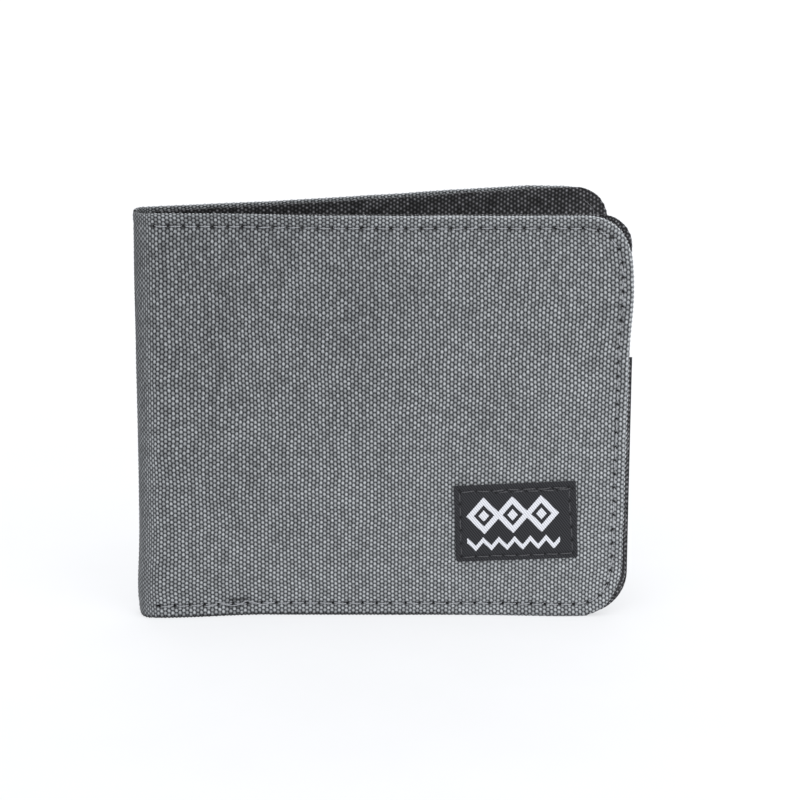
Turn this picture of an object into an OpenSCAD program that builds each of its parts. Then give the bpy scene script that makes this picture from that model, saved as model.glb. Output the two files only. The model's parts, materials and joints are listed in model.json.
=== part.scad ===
// Bifold wallet in canvas, standing on its bottom edge and slightly open.
// Units are millimetres, +Z is up, and the front half faces -Y.
//
// Each half is built lying in its own frame: x runs from the end of the flat
// cloth out to the free edge, y runs inwards from the outer face of the canvas,
// and z runs up from the bottom edge. The front half stays there, and the rear
// half is mirrored and turned about the fold.

/* [Overall] */
// Width of the wallet when closed, from the fold to the free edge
wallet_w = 112; // [100:1:135]
// Height of the wallet
wallet_h = 95; // [90:1:115]
// Radius of the rounded corners at the free edge
corner_r = 9; // [6:0.5:12]
// Angle the two halves stand open
open_angle = 14.3; // [4:0.1:30]

/* [Fold] */
// Outer radius of the canvas round the fold
fold_r = 3; // [3:0.1:4]
// Turn of the cloth from the flat to each crease line, in degrees
crease_turn = 41; // [36:1:44]
// Gap in the canvas beside each crease line
crease_gap = 0.25; // [0.2:0.05:0.3]

/* [Shell] */
// Thickness of the cover canvas
canvas_t = 0.5; // [0.4:0.05:0.55]
// Thickness of the canvas where it is turned in as a hem
hem_t = 0.45; // [0.4:0.05:0.5]
// Width of the turned hems
hem_w = 7; // [5:0.5:9]
// Thickness of the stiffening board
board_t = 0.4; // [0.2:0.05:0.4]
// Space round the board inside the hems
board_gap = 0.3; // [0.1:0.1:1]
// Thickness of the lining
lining_t = 0.12; // [0.1:0.02:0.16]
// Distance of the lining's edge inside the edge of the shell
lining_in = 0.8; // [0.4:0.1:1.5]

/* [Bill compartment] */
// Depth of the bill compartment when it is empty
bill_gap = 0.3; // [0.25:0.05:0.35]
// Thickness of the divider canvas
divider_t = 0.35; // [0.25:0.05:0.4]
// Distance of the divider's inner end from the fold
divider_start = 2; // [1.5:0.5:6]
// Radius of the divider's corners, tighter than the shell's so that it shows
divider_corner_r = 7.5; // [5:0.5:10]
// Width of the divider's turned edges
turn_w = 5; // [3:0.5:7]
// Thickness of the divider's top turn, which leaves the compartment open
top_turn_t = 0.25; // [0.15:0.05:0.25]

/* [Card pockets] */
// Distance of the pockets' inner ends from the fold
pocket_start = 8; // [5:0.5:10]
// Thickness of one pocket panel
pocket_t = 0.25; // [0.15:0.05:0.3]
// Slack between two pocket panels
card_gap = 0.05; // [0.03:0.01:0.08]
// Height of the lowest pocket's mouth
pocket_mouth_z = 46; // [40:1:50]
// Step from each pocket's mouth to the next
pocket_step = 15; // [10:1:15]
// Width of the binding tape along each mouth
binding_w = 4; // [3:0.5:6]
// Thickness of the binding tape
binding_t = 0.12; // [0.08:0.02:0.14]
// How far the pockets stand out past the shell's free edge
pocket_proud = 0.4; // [0.2:0.1:1]

/* [Window pocket] */
// Height of the window pocket's mouth
window_mouth_z = 62.5; // [58:0.5:70]
// Thickness of the window pocket's canvas frame
frame_t = 0.3; // [0.2:0.05:0.3]
// Thickness of the clear sheet behind it
sheet_t = 0.15; // [0.1:0.05:0.2]
// Width of the window
window_w = 70; // [50:1:72]
// Height of the window
window_h = 38; // [30:1:40]
// How far the clear sheet reaches past the window on each side
sheet_lap = 4; // [2:0.5:5]

/* [Label] */
// Width of the woven label
label_w = 28; // [20:0.5:34]
// Height of the woven label
label_h = 18.4; // [12:0.1:22]
// Thickness of the label with its turned ends
label_t = 0.35; // [0.3:0.05:0.5]
// Distance from the label's centre to the free edge
label_from_edge = 25.6; // [22:0.1:40]
// Height of the label's centre
label_z = 23; // [18:0.1:40]
// Tilt of the label
label_tilt = 2.4; // [0:0.1:5]
// Distance of the label's stitching inside its edge
label_seam_in = 1.2; // [1:0.1:2]

/* [Stitching] */
// Distance of the seam inside the edge of the shell
seam_in = 3; // [2:0.1:4]
// Length of one stitch, hole to hole
stitch_pitch = 3.3; // [2.5:0.1:4.5]
// Length of one stitch on the label
label_pitch = 3.4; // [2.4:0.1:4]
// Thickness of the sewing thread
thread_t = 0.25; // [0.2:0.01:0.27]
// Width of the thread on the cloth
thread_w = 0.45; // [0.35:0.05:0.6]
// Depth the stitching pulls into the canvas
seam_sink = 0.3; // [0.28:0.01:0.34]
// Depth the stitching pulls into the label
label_sink = 0.26; // [0.2:0.01:0.28]
// Part of each stitch length taken up by the needle hole
hole_share = 0.25; // [0.15:0.05:0.4]

/* [Hidden] */
CANVAS = [0.43, 0.44, 0.46];
BLACK_CANVAS = [0.13, 0.13, 0.14];
BOARD = [0.62, 0.6, 0.56];
LINING = [0.08, 0.08, 0.09];
TAPE = [0.1, 0.1, 0.11];
CLEAR = [0.85, 0.88, 0.9, 0.35];
THREAD = [0.5, 0.51, 0.53];
BLACK_THREAD = [0.06, 0.06, 0.07];

// Room allowed on both sides of a thread in its groove
thread_room = 0.2;
// Reach of a cutter past the face it cuts
past = 1;
// Steps in a drawn quarter turn
ARC_STEPS = 16;

// The fold: the cloth turns from the front face round to the rear face
fold_turn = 180 - open_angle;
mid_r = fold_r - canvas_t / 2;
half_w = wallet_w - fold_r;
pocket_end = half_w + pocket_proud;
rear_x = -fold_r * sin(open_angle);
rear_y = fold_r + fold_r * cos(open_angle);
lip_turn = crease_turn - (canvas_t / 2 + crease_gap) / mid_r * 180 / PI;

// The spine's inner layers stop short of the creases by this many degrees
inner_turn = 6;
spine_inset = crease_turn + inner_turn;

// Depths of the layers, from the outer face of the canvas inwards
hem_y = canvas_t;
lining_y = hem_y + hem_t;
turn_y = lining_y + lining_t;
divider_y = turn_y + bill_gap;
pocket_y = divider_y + divider_t;
tier = card_gap + pocket_t;
sheet_y = pocket_y + card_gap;
frame_y = sheet_y + sheet_t;

// The frame's origin is the middle of the wallet's outline on the floor
mid_x = (pocket_end - fold_r) / 2;
mid_y = (rear_y + half_w * sin(open_angle) - label_t) / 2;

// Spacing of the stitches
seam_r = corner_r - seam_in;
seam_x = half_w - seam_in;
groove_w = thread_w + 2 * thread_room;

// ---------- shared shapes ----------

function arc(cx, cy, r, from, to) =
    let (n = max(4, ceil(abs(to - from) / 90 * ARC_STEPS)))
    [for (i = [0:n]) let (a = from + (to - from) * i / n) [cx + r * cos(a), cy + r * sin(a)]];

// The outline of a half, square at the fold and rounded at the free edge
function half_outline(x0, x1, z0, z1, r) =
    concat([[x0, z0]], arc(x1 - r, z0 + r, r, -90, 0), arc(x1 - r, z1 - r, r, 0, 90), [[x0, z1]]);

// The same outline with its top corner square, for a panel lower than the half
function pocket_outline(x0, x1, z0, z1, r) =
    concat([[x0, z0]], arc(x1 - r, z0 + r, r, -90, 0), [[x1, z1], [x0, z1]]);

// A flat layer: its outline drawn in x and z, its thickness going inwards from y
module layer(y, t) {
    translate([0, y + t, 0])
        rotate([90, 0, 0])
            linear_extrude(height = t)
                children();
}

module box(x0, x1, y0, y1, z0, z1) {
    translate([x0, y0, z0])
        cube([x1 - x0, y1 - y0, z1 - z0]);
}

module place_front() {
    translate([-mid_x, -mid_y, 0])
        children();
}

module place_rear() {
    translate([rear_x - mid_x, rear_y - mid_y, 0])
        rotate([0, 0, open_angle])
            mirror([0, 1, 0])
                children();
}

// A strip of cloth bent round the fold, between two turns measured from the front
module bent_strip(r_out, t, from, to, z0, z1) {
    translate([0, 0, z0])
        linear_extrude(height = z1 - z0)
            polygon(concat(
                arc(0, fold_r, r_out, -90 - from, -90 - to),
                arc(0, fold_r, r_out - t, -90 - to, -90 - from)
            ));
}

// ---------- stitching ----------

// Lengths of the seam's straight and round stretches along bottom, side and top
flat_run = seam_x - seam_r;
round_run = seam_r * PI / 2;
side_run = wallet_h - 2 * corner_r;
seam_len = 2 * flat_run + 2 * round_run + side_run;
stitch_count = round(seam_len / stitch_pitch);

// Place and heading of the seam a distance s from the fold along the bottom
function seam_at(s) =
    s < flat_run ? [s, seam_in, 0] :
    s < flat_run + round_run ?
        let (a = (s - flat_run) / seam_r * 180 / PI)
        [flat_run + seam_r * sin(a), corner_r - seam_r * cos(a), a] :
    s < flat_run + round_run + side_run ?
        [seam_x, corner_r + s - flat_run - round_run, 90] :
    s < flat_run + 2 * round_run + side_run ?
        let (a = (s - flat_run - round_run - side_run) / seam_r * 180 / PI)
        [flat_run + seam_r * cos(a), wallet_h - corner_r + seam_r * sin(a), 90 + a] :
    [seam_len - s, wallet_h - seam_in, 180];

module stitch(x, z, heading, len, y0) {
    translate([x, y0 + thread_t / 2, z])
        rotate([0, -heading, 0])
            cube([len, thread_t, thread_w], center = true);
}

module edge_stitches() {
    pitch = seam_len / stitch_count;
    for (i = [0:stitch_count - 1]) {
        at = seam_at((i + 0.5) * pitch);
        stitch(at[0], at[1], at[2], pitch * (1 - hole_share), seam_sink - thread_t);
    }
}

// The sunk line the stitches lie in
module seam_groove() {
    near = seam_in - groove_w / 2;
    far = seam_in + groove_w / 2;
    difference() {
        layer(-past, past + seam_sink)
            polygon(half_outline(thread_room, half_w - near, near, wallet_h - near, corner_r - near));
        layer(-2 * past, 3 * past + seam_sink)
            polygon(half_outline(-past, half_w - far, far, wallet_h - far, corner_r - far));
    }
}

// ---------- the shell of a half ----------

module half_cover() {
    difference() {
        union() {
            layer(0, canvas_t)
                polygon(half_outline(0, half_w, 0, wallet_h, corner_r));
            bent_strip(fold_r, canvas_t, 0, lip_turn, 0, wallet_h);
        }
        seam_groove();
    }
}

module top_hem() {
    intersection() {
        layer(hem_y, hem_t)
            polygon(half_outline(0, half_w, 0, wallet_h, corner_r));
        box(-past, wallet_w, 0, wallet_w, wallet_h - hem_w, wallet_h + past);
    }
}

module bottom_hem() {
    intersection() {
        layer(hem_y, hem_t)
            polygon(half_outline(0, half_w, 0, wallet_h, corner_r));
        box(-past, wallet_w, 0, wallet_w, -past, hem_w);
    }
}

module side_hem() {
    intersection() {
        layer(hem_y, hem_t)
            polygon(half_outline(0, half_w, 0, wallet_h, corner_r));
        box(half_w - hem_w, wallet_w, 0, wallet_w, hem_w, wallet_h - hem_w);
    }
}

module board() {
    in = hem_w + board_gap;
    box(board_gap, half_w - in, hem_y, hem_y + board_t, in, wallet_h - in);
}

module lining() {
    layer(lining_y, lining_t)
        polygon(half_outline(
                0, half_w - lining_in,
                lining_in, wallet_h - lining_in,
                corner_r - lining_in
            ));
}

// ---------- the bill divider of a half ----------

module divider() {
    layer(divider_y, divider_t)
        polygon(half_outline(divider_start, half_w, 0, wallet_h, divider_corner_r));
}

module divider_top_turn() {
    intersection() {
        layer(divider_y - top_turn_t, top_turn_t)
            polygon(half_outline(divider_start, half_w, 0, wallet_h, divider_corner_r));
        box(0, half_w - turn_w, 0, wallet_w, wallet_h - turn_w, wallet_h + past);
    }
}

module divider_side_turn() {
    intersection() {
        layer(turn_y, bill_gap)
            polygon(half_outline(divider_start, half_w, 0, wallet_h, divider_corner_r));
        box(half_w - turn_w, wallet_w, 0, wallet_w, turn_w, wallet_h + past);
    }
}

module divider_bottom_turn() {
    intersection() {
        layer(turn_y, bill_gap)
            polygon(half_outline(divider_start, half_w, 0, wallet_h, divider_corner_r));
        box(0, wallet_w, 0, wallet_w, -past, turn_w);
    }
}

// ---------- pockets ----------

// Height of a card pocket's mouth, counting tiers up from the lowest
function mouth_z(tiers_up) = pocket_mouth_z + tiers_up * pocket_step;

module card_pocket(tiers_up) {
    layer(pocket_y + card_gap + (2 - tiers_up) * tier, pocket_t)
        polygon(pocket_outline(pocket_start, pocket_end, 0, mouth_z(tiers_up), divider_corner_r));
}

// Tape stitched flat along the face of a mouth
module mouth_tape(face_y, mouth) {
    box(pocket_start, pocket_end, face_y, face_y + binding_t, mouth - binding_w, mouth);
}

module card_binding(tiers_up) {
    mouth_tape(pocket_y + (3 - tiers_up) * tier, mouth_z(tiers_up));
}

window_x = (pocket_start + pocket_end) / 2;
window_z = (seam_in + window_mouth_z - binding_w) / 2;

module window_panel() {
    difference() {
        layer(frame_y, frame_t)
            polygon(pocket_outline(pocket_start, pocket_end, 0, window_mouth_z, divider_corner_r));
        box(
            window_x - window_w / 2, window_x + window_w / 2,
            frame_y - past, frame_y + frame_t + past,
            window_z - window_h / 2, window_z + window_h / 2
        );
    }
}

module clear_sheet() {
    reach_x = window_w / 2 + sheet_lap;
    reach_z = window_h / 2 + sheet_lap;
    box(
        window_x - reach_x, window_x + reach_x,
        sheet_y, sheet_y + sheet_t,
        window_z - reach_z, window_z + reach_z
    );
}

// ---------- label ----------

module place_label() {
    place_front()
        translate([half_w - label_from_edge, 0, label_z])
            rotate([0, -label_tilt, 0])
                children();
}

label_seam_w = label_w - 2 * label_seam_in;
label_seam_h = label_h - 2 * label_seam_in;

module label_groove() {
    wide = groove_w / 2;
    difference() {
        box(
            -label_seam_w / 2 - wide, label_seam_w / 2 + wide,
            -label_t - past, -label_t + label_sink,
            -label_seam_h / 2 - wide, label_seam_h / 2 + wide
        );
        box(
            -label_seam_w / 2 + wide, label_seam_w / 2 - wide,
            -label_t - 2 * past, past,
            -label_seam_h / 2 + wide, label_seam_h / 2 - wide
        );
    }
}

// Stitches along one side of the label, which is `run` long and `out` from the centre
module label_row(run, out, heading) {
    count = round(run / label_pitch);
    pitch = run / count;
    y0 = -label_t + label_sink - thread_t;
    rotate([0, -heading, 0])
        for (i = [0:count - 1])
            stitch((i + 0.5) * pitch - run / 2, -out, 0, pitch * (1 - hole_share), y0);
}

// ---------- the pieces ----------

module front_cover() color(CANVAS) place_front() half_cover();
module front_top_hem() color(CANVAS) place_front() top_hem();
module front_side_hem() color(CANVAS) place_front() side_hem();
module front_bottom_hem() color(CANVAS) place_front() bottom_hem();
module front_board() color(BOARD) place_front() board();
module front_lining() color(LINING) place_front() lining();
module front_divider() color(BLACK_CANVAS) place_front() divider();
module front_divider_top_turn() color(BLACK_CANVAS) place_front() divider_top_turn();
module front_divider_side_turn() color(BLACK_CANVAS) place_front() divider_side_turn();
module front_divider_bottom_turn() color(BLACK_CANVAS) place_front() divider_bottom_turn();
module front_stitching() color(THREAD) place_front() edge_stitches();

module window_frame() color(BLACK_CANVAS) place_front() window_panel();
module window_sheet() color(CLEAR) place_front() clear_sheet();
module window_binding() color(TAPE) place_front() mouth_tape(frame_y + frame_t, window_mouth_z);

module label() {
    color(TAPE)
        place_label()
            difference() {
                box(-label_w / 2, label_w / 2, -label_t, 0, -label_h / 2, label_h / 2);
                label_groove();
            }
}

module label_stitching() {
    color(BLACK_THREAD)
        place_label() {
            label_row(label_seam_w, label_seam_h / 2, 0);
            label_row(label_seam_h, label_seam_w / 2, 90);
            label_row(label_seam_w, label_seam_h / 2, 180);
            label_row(label_seam_h, label_seam_w / 2, 270);
        }
}

// The cloth between the two crease lines, with a round end at each crease
module spine_cover() {
    color(CANVAS)
        place_front() {
            bent_strip(fold_r, canvas_t, crease_turn, fold_turn - crease_turn, 0, wallet_h);
            for (turn = [crease_turn, fold_turn - crease_turn])
                translate([-mid_r * sin(turn), fold_r - mid_r * cos(turn), 0])
                    cylinder(h = wallet_h, d = canvas_t, $fn = 48);
        }
}

module spine_top_hem() {
    color(CANVAS)
        place_front()
            bent_strip(
                fold_r - hem_y, hem_t,
                spine_inset, fold_turn - spine_inset,
                wallet_h - hem_w, wallet_h
            );
}

module spine_bottom_hem() {
    color(CANVAS)
        place_front()
            bent_strip(fold_r - hem_y, hem_t, spine_inset, fold_turn - spine_inset, 0, hem_w);
}

module spine_lining() {
    color(LINING)
        place_front()
            bent_strip(
                fold_r - lining_y, lining_t,
                spine_inset, fold_turn - spine_inset,
                lining_in, wallet_h - lining_in
            );
}

module rear_cover() color(CANVAS) place_rear() half_cover();
module rear_top_hem() color(CANVAS) place_rear() top_hem();
module rear_side_hem() color(CANVAS) place_rear() side_hem();
module rear_bottom_hem() color(CANVAS) place_rear() bottom_hem();
module rear_board() color(BOARD) place_rear() board();
module rear_lining() color(LINING) place_rear() lining();
module rear_divider() color(BLACK_CANVAS) place_rear() divider();
module rear_divider_top_turn() color(BLACK_CANVAS) place_rear() divider_top_turn();
module rear_divider_side_turn() color(BLACK_CANVAS) place_rear() divider_side_turn();
module rear_divider_bottom_turn() color(BLACK_CANVAS) place_rear() divider_bottom_turn();
module rear_stitching() color(THREAD) place_rear() edge_stitches();

module card_pocket_top() color(BLACK_CANVAS) place_rear() card_pocket(2);
module card_pocket_middle() color(BLACK_CANVAS) place_rear() card_pocket(1);
module card_pocket_bottom() color(BLACK_CANVAS) place_rear() card_pocket(0);
module binding_top() color(TAPE) place_rear() card_binding(2);
module binding_middle() color(TAPE) place_rear() card_binding(1);
module binding_bottom() color(TAPE) place_rear() card_binding(0);

front_cover();
front_top_hem();
front_side_hem();
front_bottom_hem();
front_board();
front_lining();
front_divider();
front_divider_top_turn();
front_divider_side_turn();
front_divider_bottom_turn();
window_frame();
window_sheet();
window_binding();
label();
label_stitching();
front_stitching();
spine_cover();
spine_top_hem();
spine_bottom_hem();
spine_lining();
rear_cover();
rear_top_hem();
rear_side_hem();
rear_bottom_hem();
rear_board();
rear_lining();
rear_divider();
rear_divider_top_turn();
rear_divider_side_turn();
rear_divider_bottom_turn();
card_pocket_top();
card_pocket_middle();
card_pocket_bottom();
binding_top();
binding_middle();
binding_bottom();
rear_stitching();
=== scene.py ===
"""Looks of a canvas bifold wallet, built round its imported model.

Cloth is laid out in millimetres in the flat frame of each half: x runs out from the fold, y inwards
from the outer face of the canvas and z up. A Half bends it round the fold and sets it in place.
"""

import json
import math
import random

import bpy
import numpy as np
from mathutils import Matrix, Vector


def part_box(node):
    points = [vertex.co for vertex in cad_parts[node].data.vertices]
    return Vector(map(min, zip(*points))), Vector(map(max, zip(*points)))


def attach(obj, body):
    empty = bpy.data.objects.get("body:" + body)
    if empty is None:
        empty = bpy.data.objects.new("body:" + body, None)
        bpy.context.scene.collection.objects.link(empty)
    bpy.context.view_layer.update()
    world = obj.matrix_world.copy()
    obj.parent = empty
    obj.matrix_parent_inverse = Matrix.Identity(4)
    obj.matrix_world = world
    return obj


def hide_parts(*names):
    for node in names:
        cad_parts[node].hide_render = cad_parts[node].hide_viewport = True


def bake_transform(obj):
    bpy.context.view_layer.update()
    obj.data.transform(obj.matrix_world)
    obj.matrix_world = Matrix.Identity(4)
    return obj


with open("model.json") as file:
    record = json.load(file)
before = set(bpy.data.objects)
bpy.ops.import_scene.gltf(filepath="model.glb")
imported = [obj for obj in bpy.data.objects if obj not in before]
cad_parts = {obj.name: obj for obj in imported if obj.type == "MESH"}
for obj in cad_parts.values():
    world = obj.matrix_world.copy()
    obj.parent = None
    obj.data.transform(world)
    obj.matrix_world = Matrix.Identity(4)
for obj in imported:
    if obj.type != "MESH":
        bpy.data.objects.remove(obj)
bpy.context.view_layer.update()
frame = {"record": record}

MM = 0.001

# --- Sizes of the wallet, in millimetres ---

FOLD_R = 3.0               # outer radius of the canvas round the fold
CORNER_R = 10.5            # upper free corners of the shell
LOW_CORNER_R = 10.0        # its lower corners
FRONT_DIVIDER_R = 7.5      # upper corners of the black layers, which show past the shell's
REAR_DIVIDER_R = 8.2
LOW_DIVIDER_R = 10.0
FRONT_DIVIDER_OUT = -0.2   # each divider's free edge past the shell's measure
REAR_DIVIDER_OUT = 0.25
REAR_DIVIDER_DROP = 0.3    # rear divider's top edge below the front's
HEM_W = 7.0                # canvas turned in along the edges
EDGE_ROLL = 0.47           # radius of the shell's rolled edge
DIVIDER_ROLL = 0.29        # radius of the dividers' rolled edge
LINING_IN = 0.8            # lining's edge inside the shell's
POCKET_SAG = 1.0           # how far the window pocket has slipped down
FILM_LAP = 4.0             # clear film's edge past the window
SHELL_SKEW = 0.7           # how far the shell's free edge runs in towards the bottom

# Depth of each layer's visible face below the outer face of the canvas, and thicknesses
BOARD_Y, BOARD_T = 0.55, 0.35
LINING_Y, LINING_T = 1.07, 0.1
DIVIDER_Y = 1.72
FILM_Y, FILM_T = 1.88, 0.13
FRAME_Y = 2.22
TIER = 0.30                # one card pocket's face above the next
TAPE_T, TAPE_W = 0.12, 4.0

# Weave of the canvas: one column of nodules across, and half the length of a nodule up
COLUMN, ROW = 0.83, 0.576
RELIEF = 0.14
LEAN = -0.06               # how far each nodule leans over, as a share of its length

SEAM_IN = 3.0              # seam inside the shell's edge
SIDE_SEAM_OUT = 0.35       # the side's seam runs this much nearer the edge
STITCH = 3.3
MOUTH_STITCH = 2.9
MOUTH_SEAM_IN = 3.2        # seam below a pocket's mouth
LABEL_STITCH = 3.4

# Where the back-tack pulls the canvas open: x, z, half width and half height
PULLS = ((19.4, 3.95, 2.6, 0.36), (18.6, 2.35, 1.8, 0.34))
BACK_TACK = ((12.0, 2.6), (14.8, 3.5), (17.6, 2.5), (21.4, 3.6), (24.6, 2.6), (27.3, 3.4))

BOW = 0.8                  # how far the front half's top edge stands out of its plane
FOOT_BOW = 1.3             # and its foot near the free edge
REAR_BOW_OUT, REAR_BOW_IN = 1.3, 0.25
FLARE = 2.6                # how far the fold's foot spreads forward
FLARE_REACH = 30.0
BULGE, FOOT_BULGE = 0.25, 0.55   # how far the fold's side bellies out, and more at its foot

CARD_POCKETS = ("card_pocket_top", "card_pocket_middle", "card_pocket_bottom")

rear_out = frame["record"]["mounts"][0]["axis"]
OPEN = math.atan2(-rear_out[0], rear_out[1])
FOLD_TURN = math.pi - OPEN
FRONT_MID = -FOLD_R * FOLD_TURN / 2   # middle of the spine, along the cloth from the front's flat

fold_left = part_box("spine_cover")[0].x / MM


def from_fold(x):
    """Millimetres out along the front's flat cloth, from metres in the wallet's frame."""
    return x / MM - fold_left - FOLD_R


shell_low, shell_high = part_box("front_cover")
height = (shell_high.z - shell_low.z) / MM
half_w = from_fold(shell_high.x)
pocket_low, pocket_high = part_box("window_frame")
pocket_start, pocket_end = from_fold(pocket_low.x), from_fold(pocket_high.x)
window_mouth = pocket_high.z / MM - POCKET_SAG
divider_start = from_fold(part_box("front_divider")[0].x)


# --- The two halves ---

def smooth_step(low, high, value):
    """0 at `low`, 1 at `high` and smooth between."""
    share = np.clip((value - low) / (high - low), 0, 1)
    return share * share * (3 - 2 * share)


def bell(value, middle, width):
    """1 at the middle, falling smoothly towards 0 over twice the width."""
    return np.exp(-((value - middle) / width) ** 2)


def front_bow(x, z):
    """How far the front half stands out: in its top edge, and low down near its end."""
    foot = FOOT_BOW * bell(x, 96, 16) * np.clip(1 - z / 28, 0, 1)
    along = np.clip(x / half_w, 0, 1)
    return BOW * np.sin(math.pi * along) * (0.7 + 0.3 * z / height) + foot


def rear_bow(x, z):
    """The rear half leans in a little near the fold and out towards its free edge."""
    return smooth_step(0, 20, x) * (REAR_BOW_OUT * bell(x, 83, 22) - REAR_BOW_IN * bell(x, 30, 16))


def flare(points):
    """Spreads the fold's foot towards the front and bellies its side, in the wallet's frame."""
    x, y, z = points.T
    out = x - fold_left
    low = np.clip(1 - z / height, 0, 1) ** 1.3
    forward = np.clip((front_origin[1] + 2 * FOLD_R - y) / (2 * FOLD_R), 0, 1)
    near = 1 - smooth_step(4, FLARE_REACH, out)
    beside = 1 - smooth_step(0, 12, out)
    foot = bell(z, 6, 8) * smooth_step(-2, 4, z)
    moved = points.copy()
    moved[:, 1] -= FLARE * low * forward * near
    moved[:, 0] -= (BULGE + FOOT_BULGE * foot) * beside
    return moved


class Half:
    """A half's flat frame: where it starts, which way it runs, and how it bows."""

    def __init__(self, body, origin, along, inwards, bow):
        self.body, self.origin, self.bow = body, origin, bow
        self.along, self.inwards = np.array(along), np.array(inwards)
        self.mirrored = np.cross(self.along, self.inwards)[2] < 0

    def place(self, points):
        """Flat millimetres to metres in the wallet's frame, round the fold where x is below 0."""
        x, y, z = np.asarray(points, float).T
        turn = np.maximum(-x, 0) / FOLD_R
        reach = FOLD_R - y
        flat_x = np.where(x < 0, -reach * np.sin(turn), x)
        flat_y = np.where(x < 0, FOLD_R - reach * np.cos(turn), y - self.bow(x, z))
        placed = self.origin + np.outer(flat_x, self.along) + np.outer(flat_y, self.inwards)
        placed[:, 2] += z
        return flare(placed) * MM


front_origin = np.array([fold_left + FOLD_R, shell_low.y / MM, 0.0])
rear_in = np.array([math.sin(OPEN), -math.cos(OPEN), 0.0])
rear_origin = front_origin + np.array([0, FOLD_R, 0]) - FOLD_R * rear_in

FRONT = Half("front_half", front_origin, (1.0, 0, 0), (0, 1.0, 0), front_bow)
REAR = Half("rear_half", rear_origin, (math.cos(OPEN), math.sin(OPEN), 0.0), rear_in, rear_bow)


# --- Meshes ---

def add_mesh(name, points, faces, cloth=None, masks=None):
    """A smooth mesh. cloth is each point's place on the flat cloth, masks are named shares."""
    mesh = bpy.data.meshes.new(name)
    mesh.from_pydata(np.asarray(points).tolist(), [], np.asarray(faces).tolist())
    mesh.polygons.foreach_set("use_smooth", [True] * len(mesh.polygons))
    if cloth is not None:
        corner = np.zeros(len(mesh.loops), int)
        mesh.loops.foreach_get("vertex_index", corner)
        layer = mesh.uv_layers.new(name="cloth")
        layer.data.foreach_set("uv", np.asarray(cloth, np.float32)[corner].ravel())
    for mask, values in (masks or {}).items():
        attribute = mesh.attributes.new(mask, "FLOAT", "POINT")
        attribute.data.foreach_set("value", np.asarray(values, np.float32))
    mesh.update()
    piece = bpy.data.objects.new(name, mesh)
    bpy.context.scene.collection.objects.link(piece)
    return piece


def weave_relief(u, v):
    """Height of the plain weave, from -1 in its gaps to 0 on its nodules."""
    column = np.floor(u / COLUMN)
    across = u / COLUMN - column - 0.5
    along = (v / ROW + column) % 2 - 1
    across = np.clip(across - LEAN * 0.5 * along, -0.5, 0.5)
    return np.cos(math.pi * across) * (0.5 + 0.5 * np.cos(math.pi * along)) - 1


def waver(u, v, seed, size):
    """A slow uneven drift of cloth, within about plus or minus 1."""
    chance = random.Random(seed)
    drift = np.zeros_like(u)
    for _ in range(5):
        a = chance.uniform(0, 2 * math.pi)
        reach = size * chance.uniform(0.6, 1.6)
        run = (u * math.cos(a) + v * math.sin(a)) * 2 * math.pi / reach
        drift += np.sin(run + chance.uniform(0, 6.3))
    return drift / 3


def weave_place(x, z, seed):
    """Where cloth at x, z lies in the weave: crowded low down, in the hem and at the fold."""
    crowded = 0.5 * np.log1p(np.exp((0.8 - x) / 0.6))
    hemmed = 0.9 * np.exp(-(height - z) / 2.2)
    u = x - crowded + 0.10 * waver(x, z, seed, 9) + 0.12 * waver(x, z, seed + 1, 31)
    v = z - 0.00124 * np.maximum(55 - z, 0) ** 2 + hemmed + 0.12 * waver(x, z, seed + 2, 11)
    return u, v


class Outline:
    """A panel's edge: square at the left and rounded at the right, or all round if closed."""

    def __init__(self, x0, x1, z0, z1, r, closed=False, top_r=None):
        self.x0, self.x1, self.z0, self.z1 = x0, x1, z0, z1
        self.bottom_r = r
        self.top_r = r if top_r is None else top_r
        self.closed = closed

    def shrunk(self, by):
        left = self.x0 + by if self.closed else self.x0
        low_r, high_r = max(self.bottom_r - by, 0.01), max(self.top_r - by, 0.01)
        return Outline(left, self.x1 - by, self.z0 + by, self.z1 - by, low_r, self.closed, high_r)

    def nearest(self, x, z):
        """How far inside each point is, the nearest point of the edge and its outward direction."""
        middle = (self.x0 + self.x1) / 2
        flip = np.where(self.closed & (x < middle), -1.0, 1.0)
        across = middle + np.abs(x - middle) if self.closed else x
        top = z > (self.z0 + self.z1) / 2
        r = np.where(top, self.top_r, self.bottom_r)
        out_x = across - (self.x1 - r)
        out_z = z - np.where(top, self.z1 - r, self.z0 + r)
        in_corner = (out_x > 0) & (np.where(top, out_z, -out_z) > 0)
        length = np.maximum(np.hypot(out_x, out_z), 1e-9)
        to_end = np.where(top, self.z1 - z, z - self.z0)
        to_side = self.x1 - across
        by_side = to_side < to_end
        inside = np.where(in_corner, r - length, np.minimum(to_end, to_side))
        nx = np.where(in_corner, out_x / length, np.where(by_side, 1.0, 0.0))
        end_z = np.where(by_side, 0.0, np.where(top, 1.0, -1.0))
        nz = np.where(in_corner, out_z / length, end_z)
        edge_x, edge_z = across + nx * inside, z + nz * inside
        if self.closed:
            edge_x = middle + (edge_x - middle) * flip
        return inside, edge_x, edge_z, nx * flip, nz


def grid_lines(low, high, step, finer_below=None, fine_step=None):
    """Evenly spaced lines from low to high, closer together below a given place."""
    def spread(start, end, apart):
        return np.linspace(start, end, max(2, round((end - start) / apart) + 1))

    if finer_below is None or low >= finer_below:
        return spread(low, high, step)
    near, far = spread(low, finer_below, fine_step), spread(finer_below, high, step)
    return np.concatenate([near, far[1:]])


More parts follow.
